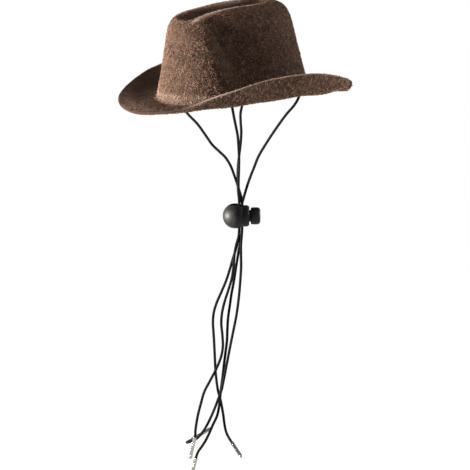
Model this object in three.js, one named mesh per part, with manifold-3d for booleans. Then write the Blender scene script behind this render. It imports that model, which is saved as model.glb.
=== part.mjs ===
// A felt cowboy hat for a dog: crown and brim in one piece of moulded felt, with two thin
// elastic cords. Each cord goes up through the brim in front of an ear, over it and down behind
// the ear, so four strands hang down, pass through a ball shaped cord lock and end in metal tips.
// Millimetres, +Z up. The front of the hat is towards -Y and the wearer's left is +X.
// The origin is the middle of the opening that the head goes in.

import * as THREE from "three";
import { mergeVertices } from "three/addons/utils/BufferGeometryUtils.js";
import Module from "manifold-3d";

const wasm = await Module();
wasm.setup();

// Hat
const headWidth = 73.6;
const headLength = 99.2;
const crownHeight = 54.2;
const feltThickness = 2.0;
const brimWidth = 33.7;
const brimCurl = 15.3;
const footRadius = 2.5;
const noseDown = THREE.MathUtils.degToRad(3.9);

// Dent along the top of the crown, open at the front
const dentDepth = 9;
const dentHalfWidth = 12;
const dentFront = 44;
const dentBack = 30;
const dentFrontSlope = 14;
const dentBackSlope = 20;

// Dents where fingers pinch the crown, one on each side, steeper ahead than behind and slanting
// forward as they go up
const pinchDepth = 9;
const pinchForward = 16;
const pinchAhead = 8;
const pinchBehind = 16;
const pinchSlant = 0.2;
const pinchHeight = 35;
const pinchTall = 23;

// Cords
const cordDiameter = 1.5;
const cordSides = 8;
const cordStep = 4.2;
const cordHoleDiameter = 2.4;
const cordHoleOut = 3;
const frontHoleAngle = THREE.MathUtils.degToRad(-24);
const backHoleAngle = THREE.MathUtils.degToRad(37);
const cordEndStraight = 1.2;
const clearance = 0.3;

// Cord lock: a ball with a slot from top to bottom and a broad shoulder on its side, and a button
// that slides into a pocket in the shoulder
const ballDiameter = 16.8;
const ballFlats = 16;
const slotWidth = 5.2;
const slotStart = -4.0;
const bundlePitch = 1.9;
const bundleAcross = 3.3;
const buttonTravel = 3;
const stemDiameter = 7.6;
const stemEnd = -2.8;
const shoulderDiameter = 14;
const shoulderReach = 9.4;
const shoulderRound = 2.2;
const buttonDiameter = 11.2;
const buttonLength = 6.3;
const buttonChamfer = 1.3;
const buttonGap = 0.4;
const lockSides = 20;

// Metal cord tips
const tipLength = 15.4;
const tipDiameter = 2.1;
const tipCollarDiameter = 2.4;
const tipCollarLength = 2.2;
const tipSides = 12;
const tipShoulder = 0.4;

// The hanging cords, the lock and the tips are placed in a frame turned about the vertical
// through the origin: x runs across, y away and z up.
const tieTurn = THREE.MathUtils.degToRad(60.4);
const lockPlace = new THREE.Vector3(2.1, 3.5, -83.8);

// Sections of the crown from its foot to its middle. rise is a share of crownHeight, width of
// half of headWidth, front and back of half of headLength.
const crownSections = [
  { rise: 0.05, width: 1.0, front: 1.0, back: 1.0 },
  { rise: 0.25, width: 0.925, front: 0.94, back: 0.955 },
  { rise: 0.5, width: 0.85, front: 0.885, back: 0.91 },
  { rise: 0.72, width: 0.785, front: 0.83, back: 0.87 },
  { rise: 0.84, width: 0.73, front: 0.795, back: 0.835 },
  { rise: 0.92, width: 0.64, front: 0.74, back: 0.785 },
  { rise: 0.97, width: 0.51, front: 0.66, back: 0.7 },
  { rise: 0.995, width: 0.37, front: 0.54, back: 0.55 },
  { rise: 1.0, width: 0.22, front: 0.36, back: 0.36 },
  { rise: 1.0, width: 0.0, front: 0.0, back: 0.0 },
];
const crownStations = [9, 8.5, 8, 7.4, 6.8, 6.2, 5.6, 5, 4.4, 3.8, 3, 2, 1, 0.45];

// Half of the brim from its front to its back. angle is in degrees round the head from its side,
// run is how far the brim reaches out, a share of brimWidth, lift how far its edge rises, of
// brimCurl, and droop how many degrees it slopes down where it leaves the head.
const brimSections = [
  { angle: -90, run: 0.741, lift: -0.088, droop: 0 },
  { angle: -60, run: 0.766, lift: 0.142, droop: 0 },
  { angle: -30, run: 0.573, lift: 0.744, droop: 0 },
  { angle: 0, run: 0.412, lift: 0.994, droop: -1 },
  { angle: 25, run: 0.722, lift: 1.005, droop: 11.5 },
  { angle: 50, run: 0.901, lift: 0.379, droop: 31 },
  { angle: 70, run: 0.785, lift: -0.437, droop: 30 },
  { angle: 90, run: 1.108, lift: -0.545, droop: 6 },
];
const brimStations = [0.16, 0.3, 0.44, 0.58, 0.72, 0.86, 1];
const footSteps = 3;
const around = 52;

// Routes of the four strands, chosen by hand in millimetres in the turned frame: [x, y, z].
// above runs from the brim to the lock and below from the lock to the tip. aim is the way
// that the tip points, and column and row are the strand's place in the lock.
const strands = {
  left_front: {
    side: 1, hole: frontHoleAngle, column: -1, row: -1,
    above: [[1, -41, -9], [2.3, -36, -16.5], [3.4, -31, -23.5], [4, -24.5, -32.5], [4.3, -19, -40.5],
      [4.2, -13.5, -49], [4, -8, -57], [4, -3, -65], [4.3, 0.8, -71]],
    below: [[4, 2.6, -97.5], [2.5, 2.6, -103], [1.3, 2.6, -110], [0.7, 2.6, -118], [-0.4, 2.6, -125.5],
      [-2.5, 2.6, -133], [-5, 2.6, -141], [-6.8, 2.6, -149], [-7.3, 2.6, -156], [-6.6, 2.6, -164],
      [-6.3, 2.7, -172], [-7.5, 2.9, -179], [-10.5, 3.3, -187], [-14.5, 3.5, -195], [-18.5, 3.5, -203],
      [-20.8, 3.4, -211], [-23, 3.2, -220], [-24.4, 3, -229], [-24.6, 3, -232.8]],
    aim: [-3.1, -0.4, -15.1],
  },
  left_back: {
    side: 1, hole: backHoleAngle, column: 1, row: 1,
    above: [[42.4, -11.5, -2.5], [39.8, -10.3, -7.5], [35, -9, -13.5], [30.5, -7.5, -20], [26, -6, -27],
      [21, -3.5, -35.5], [17, -1.3, -43], [14.2, 0.7, -50.5], [11, 3, -59.5], [8.7, 4.2, -67],
      [7.2, 4.4, -72.5]],
    below: [[6, 4.5, -97], [5.2, 4.6, -101.5], [4.2, 4.6, -107], [3, 4.5, -114.5], [2, 4.5, -121],
      [0.8, 4.5, -129], [-0.6, 4.5, -136.5], [-1.7, 4.5, -144.5], [-2.8, 4.5, -152.5],
      [-3.3, 4.5, -160.5], [-3.6, 4.5, -168.5], [-4.5, 4.3, -176], [-5.5, 4, -184], [-6.5, 4, -193],
      [-7.6, 4, -202], [-8.7, 4, -212.5], [-10.2, 4.4, -220], [-13, 5.2, -226.5], [-15, 5.8, -231.5],
      [-17.5, 6, -237], [-20.3, 6, -241.6], [-22.6, 6, -245], [-23.9, 6, -248.3]],
    aim: [-3.4, -0.5, -15],
  },
  right_front: {
    side: -1, hole: frontHoleAngle, column: 1, row: -1,
    above: [[-35.9, 20.8, -6], [-33.8, 18.7, -12], [-29.5, 15.5, -18], [-22.5, 12, -24.8],
      [-17.4, 9.5, -31.5], [-12.9, 7.3, -37.5], [-8.4, 5.5, -41.5], [-4.4, 4, -45.2], [-1.2, 3, -50.3],
      [1.7, 2.3, -58], [4, 2.1, -65], [5.7, 2.3, -71]],
    below: [[6.1, 2.5, -96.5], [5.6, 2.4, -103], [5.6, 2.2, -110], [5.7, 2.2, -117.5], [5.3, 2.2, -125],
      [4.7, 2.1, -133], [3.9, 2, -141], [2.7, 2, -150], [1.2, 1.9, -158], [-0.6, 1.7, -167],
      [-2.3, 1.6, -176], [-4, 1.3, -185], [-5.7, 1, -194], [-7.4, 1, -202], [-9.6, 1.2, -208],
      [-11.4, 2, -213.2], [-13.4, 3.2, -218.5], [-16, 5, -224.8], [-18.5, 6.4, -229.8],
      [-21.3, 7.2, -234.1], [-24.5, 7.6, -237.2], [-27.2, 8.3, -238.8], [-29.3, 10, -239.9],
      [-30.3, 12.1, -240.7], [-29.8, 14.1, -240.9], [-28.2, 15, -240.3]],
    aim: [13.1, 0.2, 7.9],
  },
  right_back: {
    side: -1, hole: backHoleAngle, column: -1, row: 1,
    above: [[11.2, 42.8, -3], [9.8, 40.5, -9.5], [7, 37.5, -15.8], [5.4, 34.3, -21.5], [5.4, 31, -27],
      [5.8, 27.5, -32.5], [5.5, 23.5, -38.5], [4.8, 20, -44], [4, 16.3, -50], [3.5, 12.8, -56],
      [3.5, 9.4, -62], [3.8, 6.3, -68.5], [4.3, 4.9, -73]],
    below: [[4.2, 4.5, -97], [3.3, 4.7, -102], [2, 5, -107.5], [0.3, 5.4, -113], [-1.6, 5.8, -120],
      [-4.3, 6, -128.5], [-7.6, 6, -136.5], [-10.5, 6, -143.5], [-12.3, 6, -150], [-12.8, 6, -156.5],
      [-12.4, 6, -163.5], [-12, 6.1, -171], [-11.6, 6.6, -180], [-11.2, 7, -189], [-10.5, 7, -196.5],
      [-9.4, 7, -204], [-7.8, 7, -210], [-6.8, 7, -215.5], [-6, 7, -220.5], [-5.2, 6.9, -227],
      [-4, 6, -232], [-2.2, 4.3, -235.3], [-0.9, 2.6, -236.9]],
    aim: [5.8, -11.2, -5.7],
  },
};

// Read a table of sections at a place between its rows, on a smooth curve through them.
function readSections(sections, place) {
  const last = sections.length - 1;
  const low = Math.min(Math.floor(place), last - 1);
  const t = place - low;
  const row = (index) => sections[Math.min(Math.max(index, 0), last)];
  const result = {};
  for (const name of Object.keys(sections[0])) {
    const [a, b, c, d] = [row(low - 1)[name], row(low)[name], row(low + 1)[name], row(low + 2)[name]];
    result[name] = 0.5 * (2 * b + (c - a) * t + (2 * a - 5 * b + 4 * c - d) * t * t
      + (3 * b - a - 3 * c + d) * t * t * t);
  }
  return result;
}

// 0 below zero, 1 above one and a smooth step between
function smoothShare(value) {
  const share = THREE.MathUtils.clamp(value, 0, 1);
  return share * share * (3 - 2 * share);
}

// Outline of the head at an angle: an ellipse, with the direction that points out of it.
function headOutline(angle) {
  const a = headWidth / 2;
  const b = headLength / 2;
  const point = new THREE.Vector3(a * Math.cos(angle), b * Math.sin(angle), 0);
  const outward = new THREE.Vector3(b * Math.cos(angle), a * Math.sin(angle), 0).normalize();
  return { point, outward };
}

// Middle of the crown's felt at an angle round the head and a place in the crown's sections
function crownPoint(angle, place) {
  const section = readSections(crownSections, place);
  const reach = Math.sin(angle) < 0 ? section.front : section.back;
  let x = headWidth / 2 * section.width * Math.cos(angle);
  const y = headLength / 2 * reach * Math.sin(angle);
  let z = crownHeight * section.rise;

  const behind = y + pinchForward + pinchSlant * (z - pinchHeight);
  const pinchAlong = Math.exp(-((behind / (behind < 0 ? pinchAhead : pinchBehind)) ** 2));
  const pinchUp = Math.exp(-(((z - pinchHeight) / pinchTall) ** 2));
  const onSide = Math.cos(angle) ** 2 * Math.min(1, section.width * 1.25);
  x -= Math.sign(x) * pinchDepth * pinchAlong * pinchUp * onSide;

  const alongDent = (y + dentFront) / (dentFront + dentBack);
  const halfWidth = dentHalfWidth * (1 - 0.35 * THREE.MathUtils.clamp(alongDent, 0, 1));
  const across = Math.max(0, 1 - (x / halfWidth) ** 2) ** 1.5;
  const ends = smoothShare((y + dentFront) / dentFrontSlope) * smoothShare((dentBack - y) / dentBackSlope);
  const nearTop = THREE.MathUtils.clamp((section.rise - 0.93) / 0.07, 0, 1);
  z -= dentDepth * across * ends * nearTop;
  return new THREE.Vector3(x, y, z);
}

// Radius, droop and turn of the arc that the brim makes at an angle, from the head to its edge
function brimArc(angle) {
  const fromSide = THREE.MathUtils.radToDeg(Math.asin(Math.sin(angle)));
  const after = brimSections.findIndex((row) => row.angle >= fromSide - 1e-9);
  const next = Math.min(Math.max(after, 1), brimSections.length - 1);
  const [low, high] = [brimSections[next - 1].angle, brimSections[next].angle];
  const place = next - 1 + (fromSide - low) / (high - low);
  const mirrored = [brimSections[1], ...brimSections, brimSections.at(-2)];
  const section = readSections(mirrored, place + 1);
  const run = section.run * brimWidth;
  const lift = section.lift * brimCurl;
  const droop = THREE.MathUtils.degToRad(section.droop);
  let halfTurn = Math.atan2(lift, run) + droop;
  if (Math.abs(halfTurn) < 1e-4) halfTurn = 1e-4;
  return { radius: Math.hypot(run, lift) / (2 * Math.sin(halfTurn)), droop, turn: 2 * halfTurn };
}

// Middle of the brim's felt at an angle and a share of the way out: an arc that slopes by its
// droop where it leaves the head and turns until it reaches the lift of its edge.
function brimPoint(angle, share) {
  const { point, outward } = headOutline(angle);
  const { radius, droop, turn } = brimArc(angle);
  const out = radius * (Math.sin(turn * share - droop) + Math.sin(droop));
  const up = radius * (Math.cos(droop) - Math.cos(turn * share - droop));
  return point.addScaledVector(outward, out).setZ(up);
}

// Height of the brim's middle at a reach out from the head
function brimHeight(angle, out) {
  const { radius, droop } = brimArc(angle);
  return radius * (Math.cos(droop) - Math.cos(Math.asin(out / radius - Math.sin(droop))));
}

// Middle of the felt in the bend between the crown and the brim, at a share of a quarter turn; it
// ends at the height of the brim there.
function footPoint(angle, share) {
  const { point, outward } = headOutline(angle);
  const turn = share * Math.PI / 2;
  const out = footRadius * (1 - Math.cos(turn));
  const up = footRadius * (1 - Math.sin(turn)) + share * brimHeight(angle, footRadius);
  return point.addScaledVector(outward, out).setZ(up);
}

// Rings of points from the middle of the crown out to the edge of the brim
function feltRings() {
  const rows = [];
  for (const place of crownStations) rows.push((angle) => crownPoint(angle, place));
  for (let step = 0; step <= footSteps; step++) rows.push((angle) => footPoint(angle, step / footSteps));
  for (const share of brimStations) rows.push((angle) => brimPoint(angle, share));
  return rows.map((row) => Array.from({ length: around }, (_, i) => row(2 * Math.PI * i / around)));
}

// The hat's two faces are the middle of the felt moved half a thickness along its normals.
function hatGeometry() {
  const rings = feltRings();
  const last = rings.length - 1;
  const normalAt = (ring, i) => {
    if (ring === 0) return new THREE.Vector3(0, 0, 1);
    const before = rings[ring][(i + around - 1) % around];
    const after = rings[ring][(i + 1) % around];
    const inner = rings[ring - 1][i];
    const outer = rings[Math.min(ring + 1, last)][i];
    const roundWay = new THREE.Vector3().subVectors(after, before);
    const outWay = new THREE.Vector3().subVectors(outer, inner);
    return outWay.cross(roundWay).normalize();
  };
  const face = (side) => rings.map((ring, k) => ring.map((point, i) => (
    point.clone().addScaledVector(normalAt(k, i), side * feltThickness / 2))));
  const top = face(1);
  const under = face(-1);
  const edge = rings[last].map((point, i) => {
    const outWay = new THREE.Vector3().subVectors(point, rings[last - 1][i]).normalize();
    return point.clone().addScaledVector(outWay, feltThickness / 4);
  });
  const layers = [...top.slice(1), edge, ...under.slice(1).reverse()];
  const points = [top[0][0], ...layers.flat(), under[0][0]];
  const positions = points.flatMap((point) => point.toArray());
  const triangles = [];
  const at = (layer, i) => 1 + layer * around + (i % around);
  const lastLayer = layers.length - 1;
  const end = points.length - 1;
  for (let i = 0; i < around; i++) {
    triangles.push(0, at(0, i), at(0, i + 1));
    triangles.push(end, at(lastLayer, i + 1), at(lastLayer, i));
    for (let layer = 0; layer < lastLayer; layer++) {
      triangles.push(at(layer, i), at(layer + 1, i), at(layer + 1, i + 1));
      triangles.push(at(layer, i), at(layer + 1, i + 1), at(layer, i + 1));
    }
  }
  const geometry = new THREE.BufferGeometry();
  geometry.setAttribute("position", new THREE.Float32BufferAttribute(positions, 3));
  geometry.setIndex(triangles);
  return geometry;
}

function toSolid(geometry) {
  const bare = geometry.clone();
  bare.deleteAttribute("normal");
  bare.deleteAttribute("uv");
  const merged = mergeVertices(bare, 1e-4);
  return new wasm.Manifold(new wasm.Mesh({
    numProp: 3,
    vertProperties: Float32Array.from(merged.attributes.position.array),
    triVerts: Uint32Array.from(merged.index.array),
  }));
}

function toGeometry(solid) {
  const mesh = solid.getMesh();
  const geometry = new THREE.BufferGeometry();
  geometry.setAttribute("position", new THREE.BufferAttribute(mesh.vertProperties, 3));
  geometry.setIndex(new THREE.BufferAttribute(mesh.triVerts, 1));
  geometry.computeVertexNormals();
  return geometry;
}

// A shape turned about x from a profile of [radius, x]
function turnedAlongX(profile) {
  const geometry = new THREE.LatheGeometry(profile.map((row) => new THREE.Vector2(...row)), lockSides);
  geometry.rotateZ(-Math.PI / 2);
  return geometry;
}

// A round bar along x from one place to another
function barAlongX(diameter, from, to) {
  return turnedAlongX([[0, from], [diameter / 2, from], [diameter / 2, to], [0, to]]);
}

// A slot with round ends from one place to another along x, cut upright
function uprightSlot(from, to, width, height) {
  const radius = width / 2;
  const shape = new THREE.Shape();
  shape.absarc(to - radius, 0, radius, -Math.PI / 2, Math.PI / 2);
  shape.absarc(from + radius, 0, radius, Math.PI / 2, 3 * Math.PI / 2);
  const geometry = new THREE.ExtrudeGeometry(shape, { depth: height, bevelEnabled: false, curveSegments: 8 });
  geometry.translate(0, 0, -height / 2);
  return geometry;
}

// Middle of a cord hole, in the frame of the hat
function holePoint(side, angle) {
  const onSide = side > 0 ? angle : Math.PI - angle;
  const { point, outward } = headOutline(onSide);
  return point.addScaledVector(outward, cordHoleOut).setZ(brimHeight(onSide, cordHoleOut));
}

function cutHat() {
  let solid = toSolid(hatGeometry());
  for (const { side, hole } of Object.values(strands)) {
    const drill = new THREE.CylinderGeometry(cordHoleDiameter / 2, cordHoleDiameter / 2, 4 * feltThickness, 12);
    drill.rotateX(Math.PI / 2);
    drill.translate(...holePoint(side, hole).toArray());
    solid = solid.subtract(toSolid(drill));
  }
  return toGeometry(solid);
}

function cordGeometry(points) {
  const curve = new THREE.CatmullRomCurve3(points, false, "centripetal");
  curve.arcLengthDivisions = 20 * points.length;
  const section = new THREE.Shape();
  for (let i = 0; i < cordSides; i++) {
    const angle = 2 * Math.PI * i / cordSides;
    const corner = [cordDiameter / 2 * Math.cos(angle), cordDiameter / 2 * Math.sin(angle)];
    if (i === 0) section.moveTo(...corner);
    else section.lineTo(...corner);
  }
  const steps = Math.ceil(curve.getLength() / cordStep);
  return new THREE.ExtrudeGeometry(section, { steps, extrudePath: curve });
}

// The stretch of a cord that lies on the brim beside the crown, from hole to hole
function bridgePoints(side) {
  const lie = feltThickness / 2 + clearance + cordDiameter / 2;
  const arch = 2 * cordDiameter;
  const from = frontHoleAngle;
  const to = backHoleAngle;
  const place = (share, height) => {
    const point = holePoint(side, from + (to - from) * share);
    return point.setZ(point.z + height);
  };
  const points = [place(0, clearance / 2), place(0, arch / 2), place(0.035, lie + arch / 2)];
  for (const share of [0.1, 0.2, 0.35, 0.5, 0.65, 0.8, 0.9]) points.push(place(share, lie + 0.2));
  points.push(place(0.965, lie + arch / 2), place(1, arch / 2), place(1, clearance / 2));
  return points;
}

// Ball of the lock: flattened at its top and bottom, slotted through, with a pocket for the button
// in its shoulder and a bore for the stem
function lockBodyGeometry() {
  const bundleEnd = bundleAcross + bundlePitch / 2 + cordDiameter / 2 + clearance;
  const sphere = new THREE.SphereGeometry(ballDiameter / 2, lockSides, lockSides / 2 + 2);
  sphere.rotateX(Math.PI / 2);
  const slab = new THREE.BoxGeometry(2 * ballDiameter, 2 * ballDiameter, ballFlats);
  const shoulder = turnedAlongX([
    [0, 0],
    [shoulderDiameter / 2, 0],
    ...[0, 1 / 3, 2 / 3, 1].map((share) => {
      const turn = share * Math.PI / 2;
      return [shoulderDiameter / 2 - shoulderRound * (1 - Math.cos(turn)),
        shoulderReach - shoulderRound * (1 - Math.sin(turn))];
    }),
    [0, shoulderReach],
  ]);
  const slot = uprightSlot(slotStart, bundleEnd, slotWidth, 2 * ballDiameter);
  const pocketStart = shoulderReach + buttonGap - buttonTravel - clearance;
  const pocket = barAlongX(buttonDiameter + 2 * clearance, pocketStart, shoulderReach + 1);
  const boreDiameter = stemDiameter + 2 * clearance;
  const bore = barAlongX(boreDiameter, stemEnd - buttonTravel - clearance, shoulderReach + 1);
  return toGeometry(toSolid(sphere).intersect(toSolid(slab)).add(toSolid(shoulder))
    .subtract(toSolid(slot)).subtract(toSolid(pocket)).subtract(toSolid(bore)));
}

// Button: a cap on a stem with a slot that the cords go through. A spring holds the end of the
// stem's slot against the cords.
function lockButtonGeometry() {
  const halfBundle = bundlePitch / 2 + cordDiameter / 2;
  const holdsAt = bundleAcross - halfBundle - clearance;
  const slotEnd = bundleAcross + halfBundle + clearance + buttonTravel;
  const capStart = shoulderReach + buttonGap;
  const capEnd = capStart + buttonLength;
  const cap = turnedAlongX([
    [0, capStart],
    [buttonDiameter / 2 - buttonChamfer, capStart],
    [buttonDiameter / 2, capStart + buttonChamfer],
    [buttonDiameter / 2, capEnd - buttonChamfer],
    [buttonDiameter / 2 - buttonChamfer, capEnd],
    [0, capEnd],
  ]);
  const stem = barAlongX(stemDiameter, stemEnd, capStart + buttonChamfer);
  const slot = uprightSlot(holdsAt, slotEnd, slotWidth, 2 * stemDiameter);
  return toGeometry(toSolid(cap).add(toSolid(stem)).subtract(toSolid(slot)));
}

// A crimped tip from its collar, at y = 0, to its round end
function tipGeometry() {
  const r = tipDiameter / 2;
  const collar = tipCollarDiameter / 2;
  return new THREE.LatheGeometry([
    new THREE.Vector2(0, 0),
    new THREE.Vector2(collar, 0),
    new THREE.Vector2(collar, tipCollarLength),
    new THREE.Vector2(r, tipCollarLength + tipShoulder),
    new THREE.Vector2(r, tipLength - r),
    new THREE.Vector2(0.75 * r, tipLength - 0.35 * r),
    new THREE.Vector2(0, tipLength),
  ], tipSides);
}

const felt = new THREE.MeshStandardMaterial({ color: 0x4e3b32, roughness: 0.95, metalness: 0 });
const elastic = new THREE.MeshStandardMaterial({ color: 0x0d0d0e, roughness: 0.8, metalness: 0 });
const blackPlastic = new THREE.MeshStandardMaterial({ color: 0x1c1d1e, roughness: 0.35, metalness: 0 });
const tipMetal = new THREE.MeshStandardMaterial({ color: 0xa3a198, roughness: 0.35, metalness: 1 });

function named(name, geometry, material) {
  const mesh = new THREE.Mesh(geometry, material);
  mesh.name = name;
  return mesh;
}

const dogHat = new THREE.Group();

const hatGroup = new THREE.Group();
hatGroup.rotation.x = noseDown;
hatGroup.add(named("hat", cutHat(), felt));
hatGroup.add(named("bridge_left", cordGeometry(bridgePoints(1)), elastic));
hatGroup.add(named("bridge_right", cordGeometry(bridgePoints(-1)), elastic));
dogHat.add(hatGroup);

const ties = new THREE.Group();
ties.rotation.z = tieTurn;
dogHat.add(ties);

const lockGroup = new THREE.Group();
lockGroup.position.copy(lockPlace);
lockGroup.add(named("lock_body", lockBodyGeometry(), blackPlastic));
lockGroup.add(named("lock_button", lockButtonGeometry(), blackPlastic));
ties.add(lockGroup);

dogHat.updateMatrixWorld(true);

for (const [name, strand] of Object.entries(strands)) {
  const hole = hatGroup.localToWorld(holePoint(strand.side, strand.hole));
  ties.worldToLocal(hole);
  const inLock = new THREE.Vector3(
    lockPlace.x + bundleAcross + strand.column * bundlePitch / 2,
    lockPlace.y + strand.row * bundlePitch / 2,
    lockPlace.z,
  );
  const halfLock = ballFlats / 2;
  const start = hole.clone();
  start.z -= clearance / 2;
  const points = [
    start,
    ...strand.above.map((point) => new THREE.Vector3(...point)),
    ...[halfLock, 0, -halfLock].map((rise) => inLock.clone().setZ(lockPlace.z + rise)),
    ...strand.below.map((point) => new THREE.Vector3(...point)),
  ];

  const aim = new THREE.Vector3(...strand.aim).normalize();
  points.push(points.at(-1).clone().addScaledVector(aim, cordEndStraight));
  ties.add(named(`strand_${name}`, cordGeometry(points), elastic));
  const tip = named(`tip_${name}`, tipGeometry(), tipMetal);
  tip.quaternion.setFromUnitVectors(new THREE.Vector3(0, 1, 0), aim);
  tip.position.copy(points.at(-1)).addScaledVector(aim, clearance);
  ties.add(tip);
}

export default dogHat;
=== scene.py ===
# Dog cowboy hat: moulded felt with a curly nap, elastic chin cords, a ball cord lock and metal
# tips. The shapes follow the same sizes as the solids, in metres, with -Y the front of the hat.

import bpy
import math
import numpy as np
from mathutils import Matrix, Vector


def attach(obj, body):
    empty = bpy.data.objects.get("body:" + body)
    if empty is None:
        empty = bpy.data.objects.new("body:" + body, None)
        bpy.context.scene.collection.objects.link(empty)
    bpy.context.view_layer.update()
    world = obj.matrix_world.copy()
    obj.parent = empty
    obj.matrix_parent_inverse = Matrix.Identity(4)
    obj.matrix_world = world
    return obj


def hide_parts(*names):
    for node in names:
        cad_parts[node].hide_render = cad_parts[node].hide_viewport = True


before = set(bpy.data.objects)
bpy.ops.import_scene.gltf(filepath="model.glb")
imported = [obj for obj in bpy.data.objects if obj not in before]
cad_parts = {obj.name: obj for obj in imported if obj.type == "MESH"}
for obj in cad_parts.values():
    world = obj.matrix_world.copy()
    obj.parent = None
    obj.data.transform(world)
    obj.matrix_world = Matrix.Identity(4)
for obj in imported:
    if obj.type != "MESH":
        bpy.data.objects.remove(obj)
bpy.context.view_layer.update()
mm = 0.001
scene = bpy.context.scene
scene.view_settings.view_transform = "Standard"
print("frame loaded")


# Camera

view = {
    "azimuth": math.radians(60.4),
    "elevation": math.radians(13.66),
    "distance": 1.997,
    "imageSide": 470,                 # pixels
    "pixelSize": 0.643 * mm,          # at the middle of the head opening
    "originPixel": (232.35, 90.26),   # where the middle of the head opening lies in the photograph
    "sensor": 36.0,
    "clipEnd": 20,
}


def wayTo(azimuth, elevation):
    # a unit vector, with the azimuth from the front towards the wearer's left
    return Vector((math.sin(azimuth) * math.cos(elevation),
                   -math.cos(azimuth) * math.cos(elevation), math.sin(elevation)))


def makeCamera():
    toward = wayTo(view["azimuth"], view["elevation"])
    right = Vector((math.cos(view["azimuth"]), math.sin(view["azimuth"]), 0))
    up = toward.cross(right)
    middle = view["imageSide"] / 2
    across = (view["originPixel"][0] - middle) * view["pixelSize"]
    rise = (middle - view["originPixel"][1]) * view["pixelSize"]
    data = bpy.data.cameras.new("photoCamera")
    data.sensor_width = view["sensor"]
    data.lens = view["sensor"] * view["distance"] / view["pixelSize"] / view["imageSide"]
    data.clip_end = view["clipEnd"]
    camera = bpy.data.objects.new("photoCamera", data)
    turn = Matrix((right, up, toward)).transposed().to_4x4()
    place = toward * view["distance"] - right * across - up * rise
    camera.matrix_world = Matrix.Translation(place) @ turn
    scene.collection.objects.link(camera)
    scene.camera = camera


makeCamera()
print("camera placed")


# Mesh and shader helpers

def setMasks(mesh, masks):
    # smooth faces, and one value a point for each mask
    mesh.polygons.foreach_set("use_smooth", np.ones(len(mesh.polygons), dtype=bool))
    for key, values in (masks or {}).items():
        layer = mesh.attributes.new(key, "FLOAT", "POINT")
        layer.data.foreach_set("value", np.asarray(values, dtype=np.float32).ravel())


def linkedObject(name, mesh):
    obj = bpy.data.objects.new(name, mesh)
    scene.collection.objects.link(obj)
    return obj


def meshObject(name, points, faces, masks=None):
    # points is (n, 3) and faces (m, 3 or 4)
    mesh = bpy.data.meshes.new(name)
    mesh.vertices.add(len(points))
    mesh.vertices.foreach_set("co", points.astype(np.float32).ravel())
    mesh.loops.add(faces.size)
    mesh.loops.foreach_set("vertex_index", faces.astype(np.int32).ravel())
    mesh.polygons.add(len(faces))
    starts = np.arange(0, faces.size, faces.shape[1], dtype=np.int32)
    mesh.polygons.foreach_set("loop_start", starts)
    setMasks(mesh, masks)
    mesh.update(calc_edges=True)
    mesh.validate()
    return linkedObject(name, mesh)


def solidOfRings(name, ring, firstPole, lastPole, flip=False, masks=None):
    # quads between closed rings of points, and a fan from a pole over each end
    rows, around = ring.shape[:2]
    points = np.vstack([ring.reshape(-1, 3), [firstPole], [lastPole]])
    i = np.arange(around)
    j = (i + 1) % around
    row = np.arange(rows - 1)[:, None] * around
    quads = np.stack([row + i, row + around + i, row + around + j, row + j], -1).reshape(-1, 4)
    end = (rows - 1) * around
    first = np.stack([np.full(around, rows * around), i, j], -1)
    last = np.stack([np.full(around, rows * around + 1), end + j, end + i], -1)
    order = -1 if flip else 1
    faces = sum((part[:, ::order].tolist() for part in (quads, first, last)), [])
    mesh = bpy.data.meshes.new(name)
    mesh.from_pydata(points.tolist(), [], faces)
    setMasks(mesh, masks)
    mesh.update()
    return linkedObject(name, mesh)


class Nodes:
    # short ways to add and join nodes in one tree
    def __init__(self, tree):
        self.tree = tree

    def feed(self, node, inputs):
        # a socket is joined to the input, any other value is set on it
        for key, value in inputs.items():
            if isinstance(value, bpy.types.NodeSocket):
                self.tree.links.new(value, node.inputs[key])
            else:
                node.inputs[key].default_value = value

    def add(self, kind, inputs=None, **settings):
        node = self.tree.nodes.new(kind)
        for key, value in settings.items():
            setattr(node, key, value)
        self.feed(node, inputs or {})
        return node

    def math(self, operation, a, b=0.0):
        return self.add("ShaderNodeMath", {0: a, 1: b}, operation=operation).outputs[0]

    def vectors(self, operation, inputs):
        return self.add("ShaderNodeVectorMath", inputs, operation=operation).outputs[0]

    def between(self, value, low, high, first=0.0, second=1.0):
        # value from low to high becomes first to second, smoothly
        node = self.add("ShaderNodeMapRange", {"Value": value, "From Min": low, "From Max": high,
                                               "To Min": first, "To Max": second},
                        interpolation_type="SMOOTHSTEP")
        return node.outputs["Result"]

    def mix(self, share, a, b):
        return self.add("ShaderNodeMix", {0: share, 6: a, 7: b}, data_type="RGBA").outputs[2]

    def attribute(self, name):
        return self.add("ShaderNodeAttribute", attribute_name=name).outputs["Fac"]

    def place(self):
        return self.add("ShaderNodeTexCoord").outputs["Object"]

    def noise(self, vector, scale, detail, roughness=0.5, output="Fac"):
        inputs = {"Vector": vector, "Scale": scale, "Detail": detail, "Roughness": roughness}
        return self.add("ShaderNodeTexNoise", inputs).outputs[output]

    def bump(self, height, strength, distance):
        inputs = {"Height": height, "Strength": strength, "Distance": distance}
        return self.add("ShaderNodeBump", inputs).outputs[0]


def colour(r, g, b):
    # sRGB 0-255 to linear
    def linear(v):
        v = v / 255
        return v / 12.92 if v <= 0.04045 else ((v + 0.055) / 1.055) ** 2.4
    return (linear(r), linear(g), linear(b), 1.0)


def newMaterial(name):
    material = bpy.data.materials.new(name)
    material.use_nodes = True
    nodes = Nodes(material.node_tree)
    material.node_tree.nodes.clear()
    out = nodes.add("ShaderNodeOutputMaterial")
    shader = nodes.add("ShaderNodeBsdfPrincipled")
    material.node_tree.links.new(shader.outputs[0], out.inputs[0])
    return material, nodes, shader


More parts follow.
